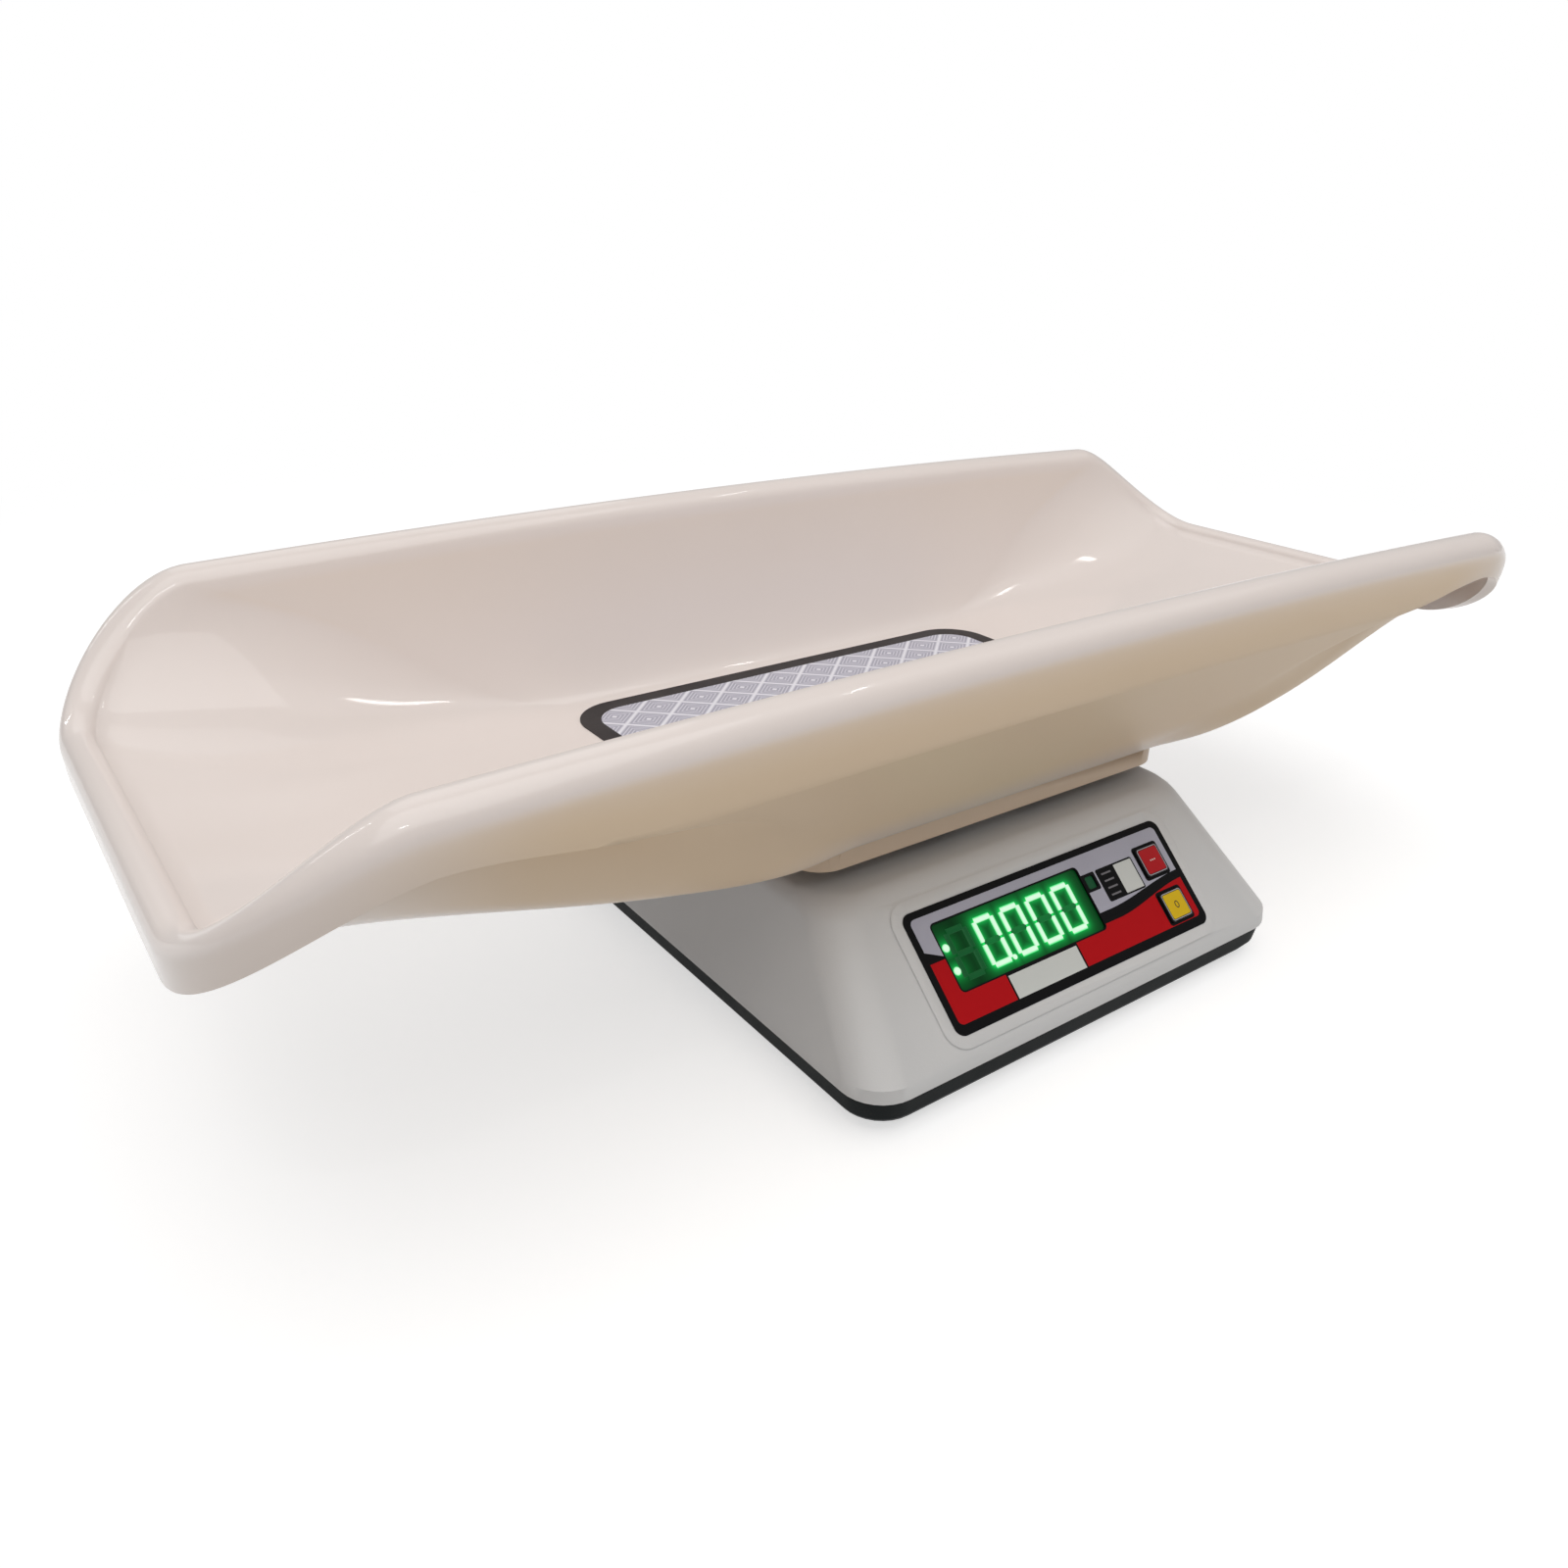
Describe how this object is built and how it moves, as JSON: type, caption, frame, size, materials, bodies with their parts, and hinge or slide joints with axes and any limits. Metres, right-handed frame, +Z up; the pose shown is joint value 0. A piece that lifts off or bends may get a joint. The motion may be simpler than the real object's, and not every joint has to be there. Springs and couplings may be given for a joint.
{
  "type": "digital baby scale",
  "caption": "Table-top digital baby scale: sloped display front with two keys, dark base, and a long moulded tray with rolled side rims on a sprung platter.",
  "frame": {"origin": "middle of the overall length and depth, on the plane the rubber feet stand on", "axes": "+Z up, +X along the tray, -Y towards the display side"},
  "size_m": [0.56, 0.251, 0.1561],
  "materials": {
    "tray_plastic": "glossy ivory, slightly pink",
    "housing_plastic": "satin off-white",
    "dark_plastic": "fine matt charcoal",
    "black_rubber": "matt",
    "tray_print": "printed label under clear film",
    "panel_print": "printed film",
    "green_window": "dark green acrylic",
    "digits": "lit green segments",
    "lamp": "green tinted",
    "red_key": "printed red",
    "yellow_key": "printed yellow",
    "circuit_board": "green solder mask",
    "switch_plastic": "black",
    "steel": "zinc plated",
    "alloy": "machined",
    "carrier_alloy": "cast",
    "battery_case": "black case"
  },
  "bodies": {
    "base": {"base_plate": "dark_plastic", "rubber_feet": "black_rubber", "top_housing": "housing_plastic", "housing_screws": "steel", "load_cell_spacer": "alloy", "load_cell": "alloy", "load_cell_base_screws": "steel", "overload_screw": "steel", "corner_stops": "black_rubber", "panel_film": "panel_print", "display_lens": "green_window", "digit_block": "digits", "display_board": "circuit_board", "display_board_screws": "steel", "mains_lamp": "lamp", "key_switches": "switch_plastic", "main_board": "circuit_board", "main_board_screws": "steel", "battery": "battery_case", "battery_door": "dark_plastic", "battery_door_screws": "steel", "power_inlet": "switch_plastic", "power_inlet_pin": "steel", "power_switch_frame": "switch_plastic"},
    "platform": {"load_cell_post": "alloy", "spider": "carrier_alloy", "load_cell_top_screws": "steel", "platter_pads": "black_rubber", "platter": "tray_plastic"},
    "tray": {"tray": "tray_plastic", "tray_pegs": "tray_plastic", "tray_label": "tray_print"},
    "function_key": {"function_key": "red_key", "function_key_plunger": "switch_plastic"},
    "zero_key": {"zero_key": "yellow_key", "zero_key_plunger": "switch_plastic"},
    "power_rocker": {"power_rocker": "switch_plastic"}
  },
  "joints": [
    {"name": "platter_deflection", "type": "slide", "parent": "base", "child": "platform", "axis": [0, 0, -1], "range_m": [0, 0.0012], "stiffness_N_per_m": 20000, "springref_m": -0.0012, "deforming": ["load_cell"]},
    {"name": "tray_lift", "type": "slide", "parent": "platform", "child": "tray", "axis": [0, 0, 1], "range_m": [0, 0.08]},
    {"name": "function_key_press", "type": "slide", "parent": "base", "child": "function_key", "axis": [0, 0.6691, -0.7431], "range_m": [0, 0.0005], "stiffness_N_per_m": 1500, "springref_m": -0.0004},
    {"name": "zero_key_press", "type": "slide", "parent": "base", "child": "zero_key", "axis": [0, 0.6691, -0.7431], "range_m": [0, 0.0005], "stiffness_N_per_m": 1500, "springref_m": -0.0004},
    {"name": "power_rocker_tilt", "type": "hinge", "parent": "base", "child": "power_rocker", "pos_m": [0.05, 0.0975, 0.0385], "axis": [0, 0, -1], "range_deg": [0, 18]}
  ]
}
